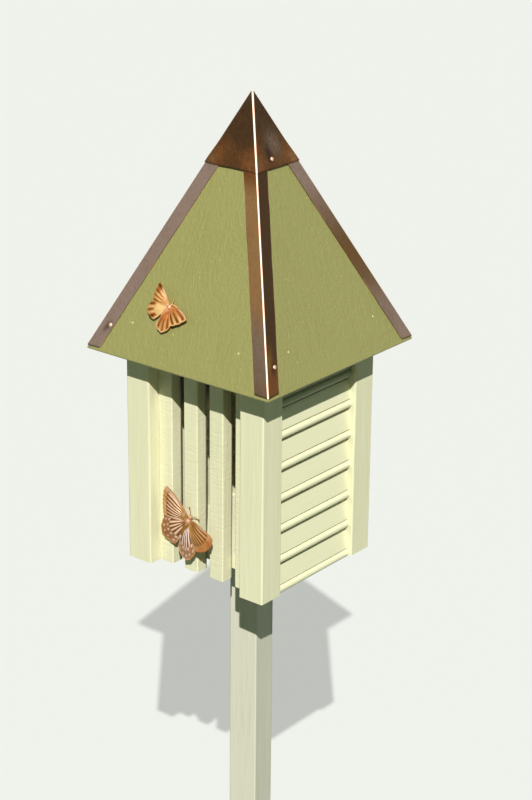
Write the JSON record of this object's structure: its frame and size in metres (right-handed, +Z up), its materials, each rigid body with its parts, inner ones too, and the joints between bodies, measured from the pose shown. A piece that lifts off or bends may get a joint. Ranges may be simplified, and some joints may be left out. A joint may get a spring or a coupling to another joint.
{
  "type": "butterfly house on a garden pole",
  "caption": "Slatted wooden butterfly house with a steep pyramid roof, copper hips and peak, and stamped copper butterflies, on a square painted pole.",
  "frame": {"origin": "on the pole's foot at ground level, under the middle of the house", "axes": "+Z up along the middle of the house, -Y out of the slatted front, +X out of the boarded right side"},
  "size_m": [0.2666, 0.2666, 1.1717],
  "materials": {
    "house_paint": "brushed satin paint, pale sage, over rough-sawn wood",
    "roof_paint": "brushed satin paint, moss green, over rough-sawn wood",
    "pole_paint": "worn satin paint, grey green",
    "aged_copper": "copper sheet, dark brown patina, bright along the folds",
    "bright_copper": "stamped copper, antiqued, satin"
  },
  "bodies": {
    "root": {"pole": "pole_paint", "floor_board": "house_paint", "corner_post_front_left": "house_paint", "corner_post_front_right": "house_paint", "corner_post_back_left": "house_paint", "corner_post_back_right": "house_paint", "front_slat_1": "house_paint", "front_slat_2": "house_paint", "front_slat_3": "house_paint", "front_slat_4": "house_paint", "back_slat_1": "house_paint", "back_slat_2": "house_paint", "back_slat_3": "house_paint", "back_slat_4": "house_paint", "left_board_1": "house_paint", "left_board_2": "house_paint", "left_board_3": "house_paint", "left_board_4": "house_paint", "left_board_5": "house_paint", "left_board_6": "house_paint", "left_board_7": "house_paint", "right_board_1": "house_paint", "right_board_2": "house_paint", "right_board_3": "house_paint", "right_board_4": "house_paint", "right_board_5": "house_paint", "right_board_6": "house_paint", "right_board_7": "house_paint", "roof_base": "house_paint", "roof_panel_front": "roof_paint", "roof_panel_right": "roof_paint", "roof_panel_back": "roof_paint", "roof_panel_left": "roof_paint", "hip_strip_front_left": "aged_copper", "hip_strip_front_right": "aged_copper", "hip_strip_back_left": "aged_copper", "hip_strip_back_right": "aged_copper", "roof_cap": "aged_copper", "roof_butterfly": "bright_copper", "front_butterfly": "bright_copper"}
  },
  "joints": []
}
